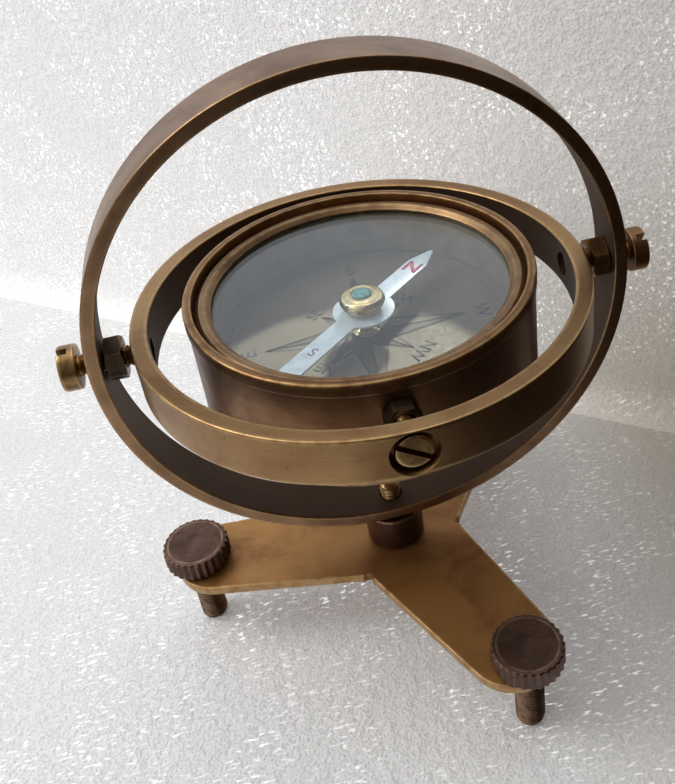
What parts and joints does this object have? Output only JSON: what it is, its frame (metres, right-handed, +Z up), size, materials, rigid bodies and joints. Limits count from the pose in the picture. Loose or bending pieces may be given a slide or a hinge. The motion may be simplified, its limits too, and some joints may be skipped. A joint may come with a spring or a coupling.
{
  "type": "ship compass",
  "caption": "Gimballed ship compass: a glazed needle compass in a brass bowl, hung in a gimbal ring inside an upright ring on a levelling tripod.",
  "frame": {"origin": "on the ground under the middle of the whole object's footprint; the column's axis stands 3 mm behind it, at y = +0.0030", "axes": "+Z up; X along the gimbal ring's pivot screws, +X to the right; Y along the bowl's pivot screws, -Y towards the front"},
  "size_m": [0.1208, 0.0977, 0.1388],
  "materials": {
    "satin_brass": "satin",
    "dark_brass": "satin",
    "old_brass": "satin",
    "polished_brass": "polished",
    "bright_steel": "satin",
    "lead_grey": "matte",
    "aged_paper": "matte",
    "pale_paint": "satin",
    "grey_paint": "matte",
    "green_jewel": "gloss",
    "clear_glass": "gloss"
  },
  "bodies": {
    "stand": {"tripod_base_plate": "satin_brass", "column_boss": "dark_brass", "column_bolt": "old_brass", "outer_ring": "dark_brass"},
    "gimbal": {"gimbal_ring": "satin_brass", "outer_pivot_screw_left": "old_brass", "outer_pivot_screw_right": "old_brass", "outer_pivot_nut_left": "dark_brass", "outer_pivot_nut_right": "dark_brass"},
    "bowl": {"bowl_case": "dark_brass", "bowl_pivot_screw_front": "old_brass", "bowl_pivot_screw_rear": "old_brass", "bowl_pivot_nut_front": "dark_brass", "bowl_pivot_nut_rear": "dark_brass", "ballast_weight": "lead_grey", "retaining_ring": "satin_brass", "cover_glass": "clear_glass", "spacer_ring": "grey_paint", "dial_plate": "old_brass", "dial_card": "aged_paper", "pivot_post": "polished_brass", "pivot_pin": "bright_steel"},
    "compass_needle": {"needle": "pale_paint", "needle_cap": "polished_brass", "cap_jewel": "green_jewel"},
    "stud_left": {"levelling_stud_left": "dark_brass"},
    "knob_left": {"levelling_knob_left": "dark_brass"},
    "stud_front": {"levelling_stud_front": "dark_brass"},
    "knob_front": {"levelling_knob_front": "dark_brass"},
    "stud_rear": {"levelling_stud_rear": "dark_brass"},
    "knob_rear": {"levelling_knob_rear": "dark_brass"}
  },
  "joints": [
    {"name": "gimbal_tilt", "type": "hinge", "parent": "stand", "child": "gimbal", "pos_m": [0, 0.003, 0.0848], "axis": [1, 0, 0], "continuous": true},
    {"name": "bowl_tilt", "type": "hinge", "parent": "gimbal", "child": "bowl", "pos_m": [0, 0.003, 0.0848], "axis": [0, 1, 0], "continuous": true},
    {"name": "needle_turn", "type": "hinge", "parent": "bowl", "child": "compass_needle", "pos_m": [0, 0.003, 0.0848], "axis": [0, 0, 1], "continuous": true},
    {"name": "screw_travel_left", "type": "slide", "parent": "stand", "child": "stud_left", "axis": [0, 0, 1], "range_m": [0, 0.0128]},
    {"name": "screw_turn_left", "type": "hinge", "parent": "stud_left", "child": "knob_left", "pos_m": [-0.04711, 0.00904, 0.0196], "axis": [0, 0, 1], "range_deg": [0, 5040]},
    {"name": "screw_travel_front", "type": "slide", "parent": "stand", "child": "stud_front", "axis": [0, 0, 1], "range_m": [0, 0.0128]},
    {"name": "screw_turn_front", "type": "hinge", "parent": "stud_front", "child": "knob_front", "pos_m": [0.01833, -0.04082, 0.0196], "axis": [0, 0, 1], "range_deg": [0, 5040]},
    {"name": "screw_travel_rear", "type": "slide", "parent": "stand", "child": "stud_rear", "axis": [0, 0, 1], "range_m": [0, 0.0128]},
    {"name": "screw_turn_rear", "type": "hinge", "parent": "stud_rear", "child": "knob_rear", "pos_m": [0.02878, 0.04079, 0.0196], "axis": [0, 0, 1], "range_deg": [0, 5040]}
  ],
  "couplings": [
    {"joint": "screw_travel_left", "follows": "screw_turn_left", "m_per_rad": 0.00014435},
    {"joint": "screw_travel_front", "follows": "screw_turn_front", "m_per_rad": 0.00014435},
    {"joint": "screw_travel_rear", "follows": "screw_turn_rear", "m_per_rad": 0.00014435}
  ]
}
